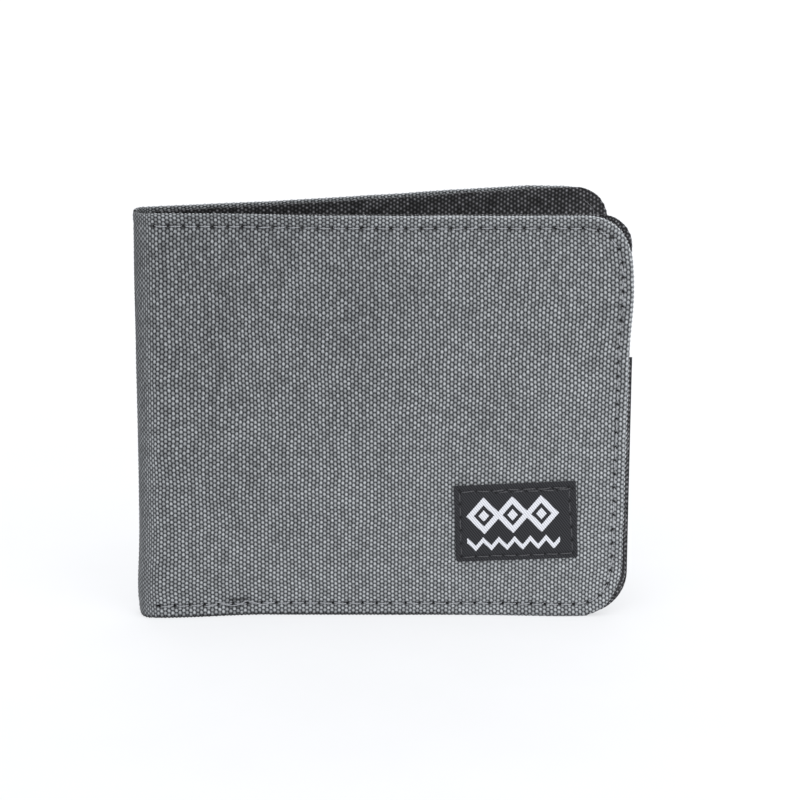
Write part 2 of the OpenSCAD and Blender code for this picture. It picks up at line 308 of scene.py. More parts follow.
def boundary_chains(quads):
    """The open edges of a quad mesh as chains of points, each in the quads' own direction."""
    sides = np.concatenate([quads[:, [k, (k + 1) % 4]] for k in range(4)])
    _, where, uses = np.unique(np.sort(sides, axis=1), axis=0, return_inverse=True,
                               return_counts=True)
    follow = {int(a): int(b) for a, b in sides[uses[where.ravel()] == 1]}
    chains = []
    while follow:
        chain = [next(iter(follow))]
        while chain[-1] in follow:
            chain.append(follow.pop(chain[-1]))
            if chain[-1] == chain[0]:
                break
        chains.append(np.array(chain))
    return chains


def rolled_edge(roll, hem, steps=6):
    """Section of a turned edge: out, depth, cloth used, and the way the cloth faces."""
    turns = [math.pi * k / steps for k in range(1, steps + 1)]
    section = [(roll * math.sin(a), roll * (1 - math.cos(a)), roll * a, math.sin(a), -math.cos(a))
               for a in turns]
    return section + [(-hem * share, 2 * roll, roll * math.pi + hem * share, 0.0, 1.0)
                      for share in (0.05, 0.15, 0.35, 0.65, 1.0)]


def cut_edge(thickness, back=0.4):
    """Section of a cut edge: square over the thickness, then a little way across the back."""
    return [
        (0.0, thickness * 0.5, thickness * 0.5, 1.0, 0.0),
        (0.0, thickness, thickness, 0.7, 0.7),
        (-back, thickness, thickness + back, 0.0, 1.0),
    ]


TINY = 1e-6
FINE_FOLD = 0.23           # columns this close together where the cloth bends round the fold


class Panel:
    """Flat cloth cut to an outline, with its edge turned to the back. Positions in millimetres."""

    def __init__(self, outline, roll, section, column_step, row_step, hole=None, fine_fold=False):
        face = outline.shrunk(roll)
        fold_end = 0.0 if fine_fold and face.x0 < 0 else None
        xs = grid_lines(face.x0, face.x1, column_step, fold_end, min(column_step, FINE_FOLD))
        zs = grid_lines(face.z0, face.z1, row_step)
        x, z, quads = self._cut_out(face, xs, zs, 0.35 * min(column_step, row_step), hole)
        edges = [self._fit_edge(chain, x, z, face, hole) for chain in boundary_chains(quads)]
        self._turn_edges(x, z, quads, edges, section)
        self.on_face = np.arange(len(self.x)) < len(x)

    @staticmethod
    def _cut_out(face, xs, zs, margin, hole):
        """The grid's points and quads inside the outline, with the hole left out."""
        if hole:
            xs = np.unique(np.concatenate([xs, hole[:2]]))
            zs = np.unique(np.concatenate([zs, hole[2:]]))
        grid_x, grid_z = (g.ravel() for g in np.meshgrid(xs, zs, indexing="ij"))
        inside, _, _, nx, nz = face.nearest(grid_x, grid_z)
        kept = inside > np.where(np.abs(nx * nz) > TINY, margin, -TINY)
        number = np.arange(len(grid_x)).reshape(len(xs), len(zs))
        corners = [number[:-1, :-1], number[1:, :-1], number[1:, 1:], number[:-1, 1:]]
        quads = np.stack(corners, axis=-1).reshape(-1, 4)
        quads = quads[kept[quads].all(axis=1)]
        if hole:
            mid_x, mid_z = grid_x[quads].mean(axis=1), grid_z[quads].mean(axis=1)
            in_x = (mid_x > hole[0]) & (mid_x < hole[1])
            quads = quads[~(in_x & (mid_z > hole[2]) & (mid_z < hole[3]))]
        used, quads = np.unique(quads, return_inverse=True)
        return grid_x[used], grid_z[used], quads.reshape(-1, 4)

    def _fit_edge(self, chain, x, z, face, hole):
        """Sets an open edge on the outline: its points, their way out, and whether it is a loop."""
        loop = chain[0] == chain[-1]
        chain = chain[:-1] if loop else chain
        if hole and self._round_hole(x[chain], z[chain], hole):
            return (chain, *self._hole_directions(x[chain], z[chain], hole), True)
        if not face.closed:
            chain, loop = self._without_left(chain, x, face.x0), False
        _, x[chain], z[chain], out_x, out_z = face.nearest(x[chain], z[chain])
        return chain, out_x, out_z, loop

    def _turn_edges(self, x, z, quads, edges, section):
        """Adds a ring of cloth for each step of the section, all along each edge."""
        flat = np.zeros(len(x))
        rings = [np.stack([x, flat, z, x, z, flat, flat - 1, flat])]
        faces, first = [quads], len(x)
        for chain, out_x, out_z, loop in edges:
            start_x, start_z, last = x[chain], z[chain], chain
            for out, deep, run, face_out, face_in in section:
                level = np.ones(len(chain))
                rings.append(np.stack([
                    start_x + out_x * out, deep * level, start_z + out_z * out,
                    start_x + out_x * run, start_z + out_z * run,
                    out_x * face_out, face_in * level, out_z * face_out,
                ]))
                ring = np.arange(first, first + len(chain))
                side = np.stack([np.roll(last, -1), last, ring, np.roll(ring, -1)], axis=-1)
                faces.append(side if loop else side[:-1])
                last, first = ring, first + len(chain)
        self.quads = np.concatenate(faces)
        (self.x, self.depth, self.z, self.u, self.v,
         self.face_x, self.face_y, self.face_z) = np.concatenate(rings, axis=1)

    @staticmethod
    def _round_hole(x, z, hole):
        return x.min() > hole[0] - TINY and x.max() < hole[1] + TINY and z.min() > hole[2] - TINY

    @staticmethod
    def _hole_directions(x, z, hole):
        """Directions from the cloth into the hole."""
        left, right, low, high = (np.abs(at - side) < TINY for at, side in zip((x, x, z, z), hole))
        return left * 1.0 - right * 1.0, low * 1.0 - high * 1.0

    @staticmethod
    def _without_left(chain, x, x0):
        """The chain from its bottom left to its top left point, without the edge at the left."""
        off_left = np.flatnonzero(np.abs(x[chain] - x0) >= TINY)
        jump = np.flatnonzero(np.diff(off_left) > 1)
        chain = np.roll(chain, -off_left[jump[0] + 1 if len(jump) else 0])
        run = np.flatnonzero(np.abs(x[chain] - x0) >= TINY)
        after = chain[(run[-1] + 1) % len(chain)]
        return np.concatenate([[chain[run[0] - 1]], chain[run], [after]])

    def move_out(self, amount):
        """Moves each point along the way its cloth faces."""
        self.x = self.x + self.face_x * amount
        self.depth = self.depth + self.face_y * amount
        self.z = self.z + self.face_z * amount

    def ripple(self, amount, seed, size):
        """Lets the cloth stand in and out a little, slowly along it."""
        self.depth = self.depth + amount * waver(self.u, self.v, seed, size)

    def build(self, name, half, y, facing_in=False, masks=None):
        """The mesh in place: y is the depth of the visible face, which faces out or in."""
        side = -1 if facing_in else 1
        points = half.place(np.stack([self.x, y + side * self.depth, self.z], axis=-1))
        quads = self.quads[:, ::-1] if facing_in != half.mirrored else self.quads
        return add_mesh(name, points, quads, np.stack([self.u, self.v], axis=-1), masks)


# --- Seams ---

def seam_route(outline, inset, start):
    """Points close together along a seam, from the bottom at `start` round the side to the top."""
    path = outline.shrunk(inset)
    low_r, high_r = path.bottom_r, path.top_r

    def corner(r, middle_z, first):
        turns = [math.radians(a) for a in np.arange(first, first + 90, 1.5)]
        return [(path.x1 - r + r * math.cos(a), middle_z + r * math.sin(a)) for a in turns]

    points = [(x, path.z0) for x in np.arange(start, path.x1 - low_r, 0.1)]
    points += corner(low_r, path.z0 + low_r, -90)
    points += [(path.x1, z) for z in np.arange(path.z0 + low_r, path.z1 - high_r, 0.1)]
    points += corner(high_r, path.z1 - high_r, 0)
    points += [(x, path.z1) for x in np.arange(path.x1 - high_r, start, -0.1)]
    return np.array(points)


def needle_holes(route, pitch, seed, unevenness=0.12):
    """Needle holes along a route, a little uneven as a machine leaves them."""
    chance = random.Random(seed)
    run = np.concatenate([[0], np.cumsum(np.hypot(*np.diff(route, axis=0).T))])
    count = max(1, round(run[-1] / pitch))
    at = np.array([k * run[-1] / count for k in range(count + 1)])
    at[1:-1] += [chance.uniform(-unevenness, unevenness) for _ in range(count - 1)]
    holes = np.stack([np.interp(at, run, route[:, 0]), np.interp(at, run, route[:, 1])], axis=-1)
    holes += [[chance.uniform(-0.07, 0.07), chance.uniform(-0.07, 0.07)] for _ in holes]
    return holes


def near_holes(x, z, holes, reach, stretch=1.0):
    """1 at a needle hole, falling to 0 over `reach`, and `stretch` times as far along x."""
    nearest = np.full(len(x), 1e9)
    for hole_x, hole_z in holes:
        nearest = np.minimum(nearest, ((x - hole_x) / stretch) ** 2 + (z - hole_z) ** 2)
    return np.exp(-nearest / reach ** 2)


class Thread:
    """Stitches gathered into one mesh: each a two-ply twisted thread lying between two holes."""

    SIDES = 6
    RINGS = 9
    TURNS = 0.9 / 1.4       # turns of the plies in each millimetre

    def __init__(self, radius=0.10):
        self.radius = radius
        self.points, self.faces, self.cloth = [], [], []

    def tube(self, line, radius, run):
        """A round strand along a line of points."""
        heading = np.gradient(line, axis=0)
        heading /= np.linalg.norm(heading, axis=1)[:, None]
        across = np.cross(heading, [0.0, 1.0, 0.0])
        across /= np.maximum(np.linalg.norm(across, axis=1), 1e-9)[:, None]
        up = np.cross(across, heading)
        first = len(self.points)
        for k in range(len(line)):
            for side in range(self.SIDES):
                a = 2 * math.pi * side / self.SIDES
                out = math.cos(a) * across[k] + math.sin(a) * up[k]
                self.points.append(line[k] + radius * out)
                self.cloth.append((run[k], side / self.SIDES))
        for a in range(first, len(self.points) - self.SIDES, self.SIDES):
            for side in range(self.SIDES):
                beside, b = (side + 1) % self.SIDES, a + self.SIDES
                self.faces.append((a + side, a + beside, b + beside, b + side))

    def stitch(self, start, end, y, sink=0.35, proud=0.12, bend=0.0):
        """One stitch from hole to hole over cloth whose face is at depth y; proud is towards -y."""
        start, end = np.asarray(start, float), np.asarray(end, float)
        length = float(np.hypot(*(end - start)))
        share = np.linspace(0, 1, self.RINGS)
        lift = 1 - np.abs(2 * share - 1) ** 3.5
        flat = start + np.outer(share, end - start)
        aside = np.array([-(end - start)[1], (end - start)[0]]) / max(length, 1e-9)
        flat += np.outer(np.sin(math.pi * share) * bend, aside)
        deep = y + math.copysign(1, proud) * (sink - (sink + abs(proud)) * lift)
        for ply in (0, math.pi):
            turn = ply + share * length * 2 * math.pi * self.TURNS
            offset = 0.62 * self.radius
            line = np.stack([
                flat[:, 0] + offset * np.cos(turn) * aside[0],
                deep + offset * np.sin(turn),
                flat[:, 1] + offset * np.cos(turn) * aside[1],
            ], axis=-1)
            self.tube(line, self.radius * 0.72, share * length)

    def row(self, holes, y, seed, buried=0.0, **how):
        """A stitch between each hole and the next, some drawn deeper by up to `buried`."""
        chance = random.Random(seed)
        for start, end in zip(holes[:-1], holes[1:]):
            along = (end - start) * 0.13
            aside = np.array([-(end - start)[1], (end - start)[0]]) * chance.uniform(-0.045, 0.045)
            deep = y + chance.uniform(0, buried)
            bend = chance.uniform(-0.07, 0.07)
            self.stitch(start + along + aside, end - along * 0.4 - aside, deep, bend=bend, **how)

    def build(self, name, half):
        return add_mesh(name, half.place(np.array(self.points)), self.faces, self.cloth)


# --- Shader helpers ---

def operator(operation, swapped=False):
    """A method of Value that joins it to another value with a math node."""
    def method(self, *other):
        values = (*other, self) if swapped else (self, *other)
        return self.nodes.math(operation, *values)
    return method


class Value:
    """A value in a shader: arithmetic on it adds math nodes to its tree."""

    def __init__(self, nodes, socket):
        self.nodes, self.socket = nodes, socket

    __add__, __sub__, __mul__ = operator("ADD"), operator("SUBTRACT"), operator("MULTIPLY")
    __truediv__, __pow__, __abs__ = operator("DIVIDE"), operator("POWER"), operator("ABSOLUTE")
    __rsub__, __rtruediv__ = operator("SUBTRACT", swapped=True), operator("DIVIDE", swapped=True)


class Nodes:
    """Short ways to add and join shader nodes in one tree. Colours are (red, green, blue)."""

    def __init__(self, tree):
        self.tree = tree

    def add(self, kind, **settings):
        node = self.tree.nodes.new(kind)
        for name, value in settings.items():
            setattr(node, name, value)
        return node

    def feed(self, socket, value):
        """Joins a value to a socket, or sets the socket's own value."""
        if isinstance(value, Value):
            self.tree.links.new(value.socket, socket)
        else:
            socket.default_value = (*value, 1) if socket.type == "RGBA" else value

    def fill(self, node, values):
        """Feeds a node's inputs, by place or by name."""
        for key, value in values.items():
            self.feed(node.inputs[key], value)

    def joined(self, node, values, output=0):
        """Feeds a node's inputs and gives one of its outputs."""
        self.fill(node, values)
        return Value(self, node.outputs[output])

    def outputs(self, node):
        return {socket.name: Value(self, socket) for socket in node.outputs if socket.name}

    def math(self, operation, *values, clamp=False):
        node = self.add("ShaderNodeMath", operation=operation, use_clamp=clamp)
        return self.joined(node, dict(enumerate(values)))

    def remap(self, *values):
        """A value taken smoothly from one range to another: value, from low, high, to low, high."""
        node = self.add("ShaderNodeMapRange", interpolation_type="SMOOTHSTEP")
        return self.joined(node, dict(enumerate(values)))

    def mix(self, share, a, b):
        node = self.add("ShaderNodeMix", data_type="RGBA")
        colours = [socket for socket in node.inputs if socket.type == "RGBA"]
        self.feed(node.inputs["Factor"], share)
        self.feed(colours[0], a)
        self.feed(colours[1], b)
        return Value(self, next(socket for socket in node.outputs if socket.type == "RGBA"))

    def noise(self, vector, scale, detail, roughness):
        values = {"Vector": vector, "Scale": scale, "Detail": detail, "Roughness": roughness}
        return self.joined(self.add("ShaderNodeTexNoise"), values, "Fac")

    def stretched(self, vector, across, up):
        """The cloth's place multiplied along each axis."""
        node = self.add("ShaderNodeVectorMath", operation="MULTIPLY")
        return self.joined(node, {0: vector, 1: (across, up, 1.0)})

    def parts(self, vector):
        """The cloth's place as x and y."""
        node = self.add("ShaderNodeSeparateXYZ")
        self.feed(node.inputs[0], vector)
        return Value(self, node.outputs["X"]), Value(self, node.outputs["Y"])

    def bump(self, height, strength, distance):
        values = {"Height": height, "Strength": strength, "Distance": distance}
        return self.joined(self.add("ShaderNodeBump"), values, "Normal")

    def cloth_place(self):
        return Value(self, self.add("ShaderNodeUVMap", uv_map="cloth").outputs["UV"])

    def mask(self, name):
        return Value(self, self.add("ShaderNodeAttribute", attribute_name=name).outputs["Fac"])

    def use(self, group, **inputs):
        """Places a node group, feeds its named sockets and gives its outputs by name."""
        node = self.add("ShaderNodeGroup", node_tree=group)
        self.fill(node, inputs)
        return self.outputs(node)


def new_group(name, numbers, outputs):
    """A shader node group on the cloth's place, with named numbers in and out."""
    group = bpy.data.node_groups.new(name, "ShaderNodeTree")
    group.interface.new_socket(name="Cloth", in_out="INPUT", socket_type="NodeSocketVector")
    for label, default in numbers.items():
        socket = group.interface.new_socket(
            name=label, in_out="INPUT", socket_type="NodeSocketFloat")
        socket.default_value = default
    for label in outputs:
        group.interface.new_socket(name=label, in_out="OUTPUT", socket_type="NodeSocketFloat")
    nodes = Nodes(group)
    entry = nodes.outputs(nodes.add("NodeGroupInput"))
    return group, nodes, entry, nodes.add("NodeGroupOutput")


def new_material(name, **constants):
    """A material, short ways to its nodes, and its Principled shader with its constants set."""
    material = bpy.data.materials.new(name)
    material.use_nodes = True
    nodes = Nodes(material.node_tree)
    shader = material.node_tree.nodes["Principled BSDF"]
    for socket, value in constants.items():
        nodes.feed(shader.inputs[socket.replace("_", " ")], value)
    return material, nodes, shader


# --- Shared effects ---

def make_plain_weave():
    """Plain weave: columns of oval nodules, each column half a step from the next."""
    group, nodes, entry, result = new_group(
        "plain weave", {"Column": COLUMN, "Row": ROW, "Lean": LEAN / 2},
        ("Nodule", "Yarn", "Fibre", "Height"))
    x, y = nodes.parts(entry["Cloth"])
    across = x / entry["Column"]
    column = nodes.math("FLOOR", across)
    along = y / entry["Row"] + column
    row = nodes.math("FLOOR", along / 2.0)
    from_centre = nodes.math("FLOORED_MODULO", along, 2.0) - 1.0
    from_middle = across - column - 0.5 - from_centre * entry["Lean"]
    taper = from_centre * 0.4 + 1.85
    wide = (abs(from_middle) * taper) ** 2.0
    tall = (abs(from_centre) * 0.98) ** 2.0
    streak = nodes.noise(nodes.stretched(entry["Cloth"], 4.4, 2.4), 1.0, 3.0, 0.7)
    oval = nodes.math("SQRT", wide + tall) + (streak - 0.5) * 1.2
    spot = nodes.joined(nodes.add("ShaderNodeCombineXYZ"), {"X": column, "Y": row})
    chance = nodes.add("ShaderNodeTexWhiteNoise", noise_dimensions="2D")
    nodes.fill(result, {
        "Nodule": nodes.remap(oval, 1.12, 0.25),
        "Yarn": nodes.joined(chance, {"Vector": spot}, "Value"),
        "Fibre": streak,
        "Height": nodes.remap(oval, 1.15, 0.0) + streak * 0.35,
    })
    return group


def make_drift():
    """Slow changes over a panel: tone from dye and handling, and painted light that grows towards
    its lower free corner.
    """
    group, nodes, entry, result = new_group("cloth drift", {"Size": 20.0}, ("Tone", "LowerCornerLight"))
    size = 1.0 / entry["Size"]
    broad = nodes.noise(entry["Cloth"], size, 2.0, 0.5)
    bands = nodes.noise(nodes.stretched(entry["Cloth"], 1.0, 0.06), size * 9.0, 2.0, 0.5)
    x, y = nodes.parts(entry["Cloth"])
    # Painted light: lighter towards the free edge and the bottom.
    lower_corner_light = x * (0.5 / half_w) + (height - y) * (0.6 / height) + (broad - 0.5) * 0.3
    nodes.fill(result, {
        "Tone": broad * 0.7 + bands * 0.3,
        "LowerCornerLight": nodes.math("ADD", lower_corner_light, 0.0, clamp=True),
    })
    return group


def make_twist():
    """Slanting plies and loose fibres of sewing thread."""
    group, nodes, entry, result = new_group("thread twist", {"Twist": 16.0}, ("Ply", "Fibre"))
    x, y = nodes.parts(entry["Cloth"])
    slant = x * entry["Twist"] + y * (2 * math.pi)
    nodes.fill(result, {
        "Ply": nodes.math("SINE", slant) * 0.5 + 0.5,
        "Fibre": nodes.noise(nodes.stretched(entry["Cloth"], 6.0, 14.0), 1.0, 3.0, 0.7),
    })
    return group


PLAIN_WEAVE = make_plain_weave()
DRIFT = make_drift()
TWIST = make_twist()


# --- Materials ---

def surface(nodes, shader, colour, roughness, normal):
    nodes.fill(shader, {"Base Color": colour, "Roughness": roughness, "Normal": normal})


def canvas_material(name, gap_shade, side, crown, spread, sheen, crown_from):
    """Coarse canvas: painted shade in the gaps, the yarn's own mid tone on the nodules' sides and a
    painted highlight on each crown.
    """
    material, nodes, shader = new_material(
        name, Sheen_Weight=sheen, Sheen_Roughness=0.5, Specular_IOR_Level=0.25)
    cloth = nodes.cloth_place()
    weave, drift = nodes.use(PLAIN_WEAVE, Cloth=cloth), nodes.use(DRIFT, Cloth=cloth)
    # The edge mask paints light on the rolled rims and lightens the gaps round the fold.
    edge = nodes.mask("edge")
    # Painted light: the gaps lighten towards the lower free corner.
    gap_shades = nodes.mix(drift["LowerCornerLight"], gap_shade, tuple(2.0 * part for part in gap_shade))
    gap_shades = nodes.mix(edge * 0.6, gap_shades, side)
    # The side colour is the yarn's own; the gaps take painted shade and each crown a painted
    # highlight.
    colour = nodes.mix(nodes.remap(weave["Nodule"], 0.0, 0.36), gap_shades, side)
    colour = nodes.mix(nodes.remap(weave["Nodule"], crown_from, 1.0), colour, crown)
    yarns = (weave["Yarn"] - 0.5) * spread + (weave["Fibre"] - 0.5) * (spread * 2.2)
    # Random tone from dye and handling, plus painted light towards the lower free corner and on the
    # rims in the edge mask.
    tone_and_painted_light = (drift["Tone"] - 0.5) * 0.3 + (drift["LowerCornerLight"] - 0.6) * 0.42 + edge * 0.5
    shade = nodes.add("ShaderNodeHueSaturation")
    shaded = nodes.joined(shade, {"Value": yarns + tone_and_painted_light + 1.0, "Color": colour})
    # The hole mask paints near-black shade: in needle holes, the seam groove and pulled openings,
    # under the foot and round the fold.
    surface(nodes, shader, nodes.mix(nodes.mask("hole"), shaded, (0.003, 0.003, 0.004)),
            nodes.remap(weave["Nodule"], 0.0, 1.0, 0.95, 0.72),
            nodes.bump(weave["Height"], 0.55, 0.00016))
    return material


def lining_material():
    """Thin woven nylon with a soft shine."""
    material, nodes, shader = new_material(
        "lining nylon", Specular_IOR_Level=0.4, Sheen_Weight=0.1)
    cloth = nodes.cloth_place()
    weave = nodes.use(PLAIN_WEAVE, Cloth=cloth, Column=0.24, Row=0.16)
    tone = nodes.use(DRIFT, Cloth=cloth, Size=14.0)["Tone"]
    colour = nodes.mix(weave["Nodule"], (0.008, 0.008, 0.01), (0.028, 0.028, 0.032))
    surface(nodes, shader, nodes.mix(tone * 0.5, colour, (0.02, 0.02, 0.024)),
            nodes.remap(weave["Nodule"], 0.0, 1.0, 0.7, 0.45),
            nodes.bump(weave["Height"], 0.4, 0.00005))
    return material


def tape_material():
    """Grosgrain binding: fine ribs across the tape."""
    material, nodes, shader = new_material(
        "binding grosgrain", Specular_IOR_Level=0.35, Sheen_Weight=0.2)
    weave = nodes.use(PLAIN_WEAVE, Cloth=nodes.cloth_place(), Column=0.5, Row=0.11)
    colour = nodes.mix(weave["Nodule"], (0.006, 0.006, 0.008), (0.035, 0.035, 0.04))
    surface(nodes, shader, nodes.mix(weave["Fibre"] * 0.4, colour, (0.05, 0.05, 0.055)),
            nodes.remap(weave["Nodule"], 0.0, 1.0, 0.85, 0.6),
            nodes.bump(weave["Height"], 0.6, 0.00008))
    return material


def board_material():
    """Grey paperboard with flecks."""
    material, nodes, shader = new_material("stiffening board", Specular_IOR_Level=0.2)
    flecks = nodes.noise(nodes.cloth_place(), 3.0, 4.0, 0.7)
    light = nodes.remap(flecks, 0.35, 0.65)
    surface(nodes, shader, nodes.mix(light, (0.28, 0.26, 0.22), (0.46, 0.43, 0.38)),
            nodes.remap(flecks, 0.3, 0.7, 0.8, 0.95), nodes.bump(flecks, 0.3, 0.00005))
    return material


def thread_material(name, dark, light, shine):
    """Twisted sewing thread."""
    material, nodes, shader = new_material(name, Specular_IOR_Level=shine, Sheen_Weight=0.15)
    twist = nodes.use(TWIST, Cloth=nodes.cloth_place())
    share = twist["Ply"] * 0.6 + twist["Fibre"] * 0.4
    surface(nodes, shader, nodes.mix(share, dark, light),
            nodes.remap(twist["Ply"], 0.0, 1.0, 0.7, 0.45), nodes.bump(share, 0.5, 0.00006))
    return material


def clear_material():
    """Soft clear film, a little scratched."""
    material, nodes, shader = new_material("clear film", IOR=1.45)
    cloth = nodes.cloth_place()
    haze = nodes.noise(nodes.stretched(cloth, 0.2, 1.6), 1.0, 4.0, 0.6)
    nodes.feed(shader.inputs["Alpha"], nodes.remap(haze, 0.3, 0.8, 0.05, 0.12))
    surface(nodes, shader, (0.9, 0.93, 0.95), nodes.remap(haze, 0.3, 0.7, 0.08, 0.25),
            nodes.bump(nodes.noise(cloth, 0.08, 2.0, 0.5), 0.3, 0.0008))
    return material


def label_material():
    """Satin woven label: fine slanting twill, black ground and a white pattern."""
    material, nodes, shader = new_material(
        "woven label", Specular_IOR_Level=0.2, Sheen_Weight=0.04)
    cloth = nodes.cloth_place()
    x, y = nodes.parts(cloth)
    slant = x * (2 * math.pi / 0.61) + y * (2 * math.pi / 0.88)
    cross = y * (2 * math.pi / 0.45) - x * (2 * math.pi / 1.3)
    twill = nodes.math("SINE", slant) * 0.36 + nodes.math("SINE", cross) * 0.14 + 0.5
    ground = nodes.mix(twill, (0.002, 0.002, 0.003), (0.038, 0.039, 0.045))
    white = nodes.mix(twill, (0.46, 0.47, 0.52), (0.86, 0.87, 0.92))
    in_pattern = nodes.remap(nodes.mask("pattern") + (twill - 0.5) * 0.5, 0.35, 0.65)
    colour = nodes.mix(in_pattern, ground, white)
    # The hole mask paints near-black shade in the needle holes.
    colour = nodes.mix(nodes.mask("hole"), colour, (0.004, 0.004, 0.005))
    fibre = nodes.noise(nodes.stretched(cloth, 5.0, 2.0), 1.0, 3.0, 0.6)
    surface(nodes, shader, nodes.mix(fibre * 0.04, colour, (0.2, 0.2, 0.22)),
            nodes.remap(twill, 0.0, 1.0, 0.8, 0.6), nodes.bump(twill, 0.5, 0.00006))
    return material


# The gap colour is painted shade between the yarns and the crown colour a painted highlight on the
# nodules, in both canvases.
GREY_CANVAS = canvas_material("grey canvas", gap_shade=(0.011, 0.012, 0.013), side=(0.162, 0.17, 0.18),
                              crown=(0.385, 0.4, 0.418), spread=0.46, sheen=0.1, crown_from=0.52)
BLACK_CANVAS = canvas_material("black canvas", gap_shade=(0.009, 0.009, 0.01), side=(0.026, 0.026, 0.029),
                               crown=(0.17, 0.17, 0.18), spread=1.1, sheen=0.15, crown_from=0.72)
LINING = lining_material()
TAPE = tape_material()
BOARD = board_material()
GREY_THREAD = thread_material("grey thread", (0.2, 0.21, 0.23), (0.5, 0.51, 0.54), 0.35)
BLACK_THREAD = thread_material("black thread", (0.012, 0.012, 0.015), (0.1, 0.1, 0.112), 0.5)
INNER_THREAD = thread_material("inner thread", (0.03, 0.03, 0.034), (0.22, 0.22, 0.235), 0.5)
CLEAR = clear_material()
LABEL = label_material()


def dress(piece, material, slot, *nodes):
    """Gives a piece its material and hides the nodes it stands for; the slot is not used."""
    piece.data.materials.append(material)
    if nodes:
        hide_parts(*nodes)
    return piece


# --- The canvas shell ---

SHELL = Outline(FRONT_MID, half_w, 0.0, height, LOW_CORNER_R, top_r=CORNER_R)


def skew_in(x, z):
    """How far the shell's cloth is drawn in: it flares near the top and runs in below."""
    edge = smooth_step(half_w * 0.45, half_w, x)
    lip = smooth_step(half_w - 14, half_w, x)
    run_in = SHELL_SKEW * np.clip((height * 0.85 - z) / 68, 0, 1.15)
    swell = 0.5 * bell(z, 76, 7.5) - 0.3 * bell(z, 88, 3.5) - 0.6 * bell(z, 6, 3.5)
    return edge * run_in - lip * swell


def rise(half, x, z):
    """How far the shell's top edge stands up past its measure."""
    if half is FRONT:
        lift = 0.35 * (1 - smooth_step(18, 45, x))
    else:
        lift = 0.5 * (1 - smooth_step(88, 100, x)) + 0.2 * (1 - smooth_step(6, 30, x))
    return lift * np.clip(z / height, 0, 1) ** 4


def ride_shell(piece, half):
    """Cloth round the fold: its placement is baked into its mesh, and it is not attached to its
    half.
    """
    flat, middle = (half.place([[x, 0.3, height / 2]])[0] for x in (0.0, FRONT_MID))
    if half is FRONT:
        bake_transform(piece)
    else:
        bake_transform(piece)
    return piece


def shell_holes(half):
    route = seam_route(SHELL, SEAM_IN, 1.6)
    holes = needle_holes(route, STITCH, seed=11 if half is FRONT else 12)
    holes[:, 0] += SIDE_SEAM_OUT * smooth_step(half_w - 8, half_w - 3.2, holes[:, 0])
    return holes


def pulled(x, z):
    """1 in the middle of each opening pulled beside the front's bottom seam."""
    spots = [np.exp(-((x - at_x) / wide) ** 4 - ((z - at_z) / tall) ** 2)
             for at_x, at_z, wide, tall in PULLS]
    return np.maximum.reduce(spots)


def make_shell(half, name, *nodes):
    """One half's canvas: face, rolled edges, turned hems, and the cloth to the spine's middle."""
    panel = Panel(SHELL, EDGE_ROLL, rolled_edge(EDGE_ROLL, HEM_W), 0.415, 0.3, fine_fold=True)
    seed = 1 if half is FRONT else 2
    panel.u, panel.v = u, v = weave_place(panel.u, panel.v, seed)
    x, z, face = panel.x, panel.z, panel.on_face
    holes = shell_holes(half)
    inside = SHELL.nearest(x, z)[0]
    on_side = x > half_w - 6
    groove = bell(inside, SEAM_IN - SIDE_SEAM_OUT * on_side, 0.32)
    # Painted shadow under the foot, where the rolled bottom edge meets the floor, and painted shade
    # round the fold.
    foot = (1 - smooth_step(0.6, 1.0, z)) * (1 - 0.6 * smooth_step(60, 80, x))
    turned = 1 - smooth_step(-1.5, 2.0, x)
    # Painted shade in the needle holes, in the seam groove and in the openings pulled beside the
    # bottom seam.
    punched = np.clip(2.1 * near_holes(x, z, holes, 0.34, np.where(on_side, 1.1, 1.7)), 0, 1)
    spot = pulled(x, z) * face * (half is FRONT)
    hole = np.maximum.reduce([punched * face, 0.3 * groove * face, 0.9 * foot, 0.32 * turned,
                              0.85 * spot])
    dip = 0.45 * near_holes(x, z, holes, 0.45) + 0.12 * groove + 0.3 * spot
    puff = 0.05 * bell(inside, 1.4, 1.0)
    panel.move_out(RELIEF * (1 + 0.8 * ~face) * weave_relief(u, v) + (puff - dip) * face - 0.05)
    panel.x = panel.x + 0.07 * waver(u, v, seed, 24)
    drift = 0.05 * waver(u, v, seed + 10, 18) * smooth_step(0, 6, panel.z)
    panel.z = np.maximum(panel.z + drift, 0.0)
    panel.depth = panel.depth + 0.06 * waver(u, v, seed + 20, 30) * face
    settled = 0.2 * (1 - smooth_step(0, 1.5, panel.z))
    panel.z = np.maximum(panel.z + rise(half, panel.x, panel.z) - settled, 0.0)
    panel.x = panel.x - skew_in(panel.x, panel.z)
    # The edge mask: a painted highlight along the rolled edges higher up, weaker near the fold on
    # the front, and round the fold a painted flattening of the weave that goes with the hole mask's
    # shade there.
    rim_highlight = smooth_step(0.9, 0.1, inside) * smooth_step(10, 40, panel.z)
    if half is FRONT:
        rim_highlight = rim_highlight * (0.35 + 0.65 * smooth_step(25, 70, panel.x))
    masks = {"hole": hole, "edge": np.maximum(rim_highlight, 0.45 * turned)}
    piece = panel.build(name, half, 0.0, masks=masks)
    return ride_shell(dress(piece, GREY_CANVAS, "grey_canvas", *nodes), half)


